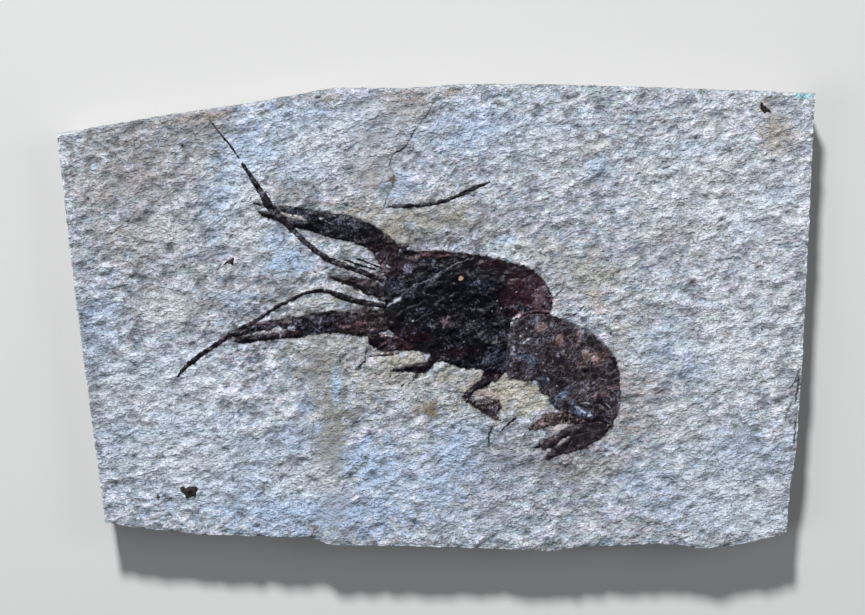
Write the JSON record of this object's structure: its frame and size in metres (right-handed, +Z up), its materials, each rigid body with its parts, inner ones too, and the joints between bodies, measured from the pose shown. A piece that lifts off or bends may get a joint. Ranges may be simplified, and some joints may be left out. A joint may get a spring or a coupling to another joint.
{
  "type": "fossil lobster",
  "caption": "Fossil freshwater crayfish pressed flat on a broken plate of pale shale, lying face up: shield, curled abdomen, tail fan, slender claws and long antennae in thin dark relief.",
  "frame": {"origin": "middle of the plate's underside, under the centre of its outline's bounding box", "axes": "the plate lies on its back: +X along its long side from the animal's claws towards its tail, +Y across the plate from the animal's belly side to its back, +Z up out of the face that carries the fossil"},
  "size_m": [0.18, 0.1108, 0.0116],
  "materials": {
    "shale": "rough split tuffaceous shale, pale blue-grey",
    "black_cuticle": "mineralised shell film, blue-black, half gloss",
    "brown_cuticle": "thinner mineralised shell film, purple-brown, half gloss",
    "plant_carbon": "carbonised plant crumb, dull"
  },
  "bodies": {
    "root": {"shale_plate": "shale", "carapace": "black_cuticle", "somite_1": "black_cuticle", "somite_2": "black_cuticle", "somite_3": "black_cuticle", "somite_4": "black_cuticle", "somite_5": "black_cuticle", "somite_6": "black_cuticle", "uropod_upper": "brown_cuticle", "telson": "black_cuticle", "telson_tip": "black_cuticle", "uropod_lower": "black_cuticle", "upper_claw_palm": "black_cuticle", "upper_claw_finger": "black_cuticle", "upper_claw_wrist": "black_cuticle", "upper_claw_arm": "brown_cuticle", "lower_claw_palm": "black_cuticle", "lower_claw_finger": "black_cuticle", "lower_claw_wrist": "brown_cuticle", "lower_claw_arm": "brown_cuticle", "antenna_upper": "black_cuticle", "antenna_upper_tip": "brown_cuticle", "antenna_lower": "black_cuticle", "antenna_loose": "black_cuticle", "antennule_upper": "black_cuticle", "antennule_lower": "black_cuticle", "antennal_scale": "brown_cuticle", "maxilliped": "brown_cuticle", "maxilliped_palp": "black_cuticle", "walking_leg": "black_cuticle", "bent_leg_upper": "black_cuticle", "bent_leg_lower": "brown_cuticle", "leg_scale": "brown_cuticle", "leg_splinter": "black_cuticle", "plant_fleck_left": "plant_carbon", "plant_fleck_corner": "plant_carbon", "plant_fleck_low": "plant_carbon"}
  },
  "joints": []
}
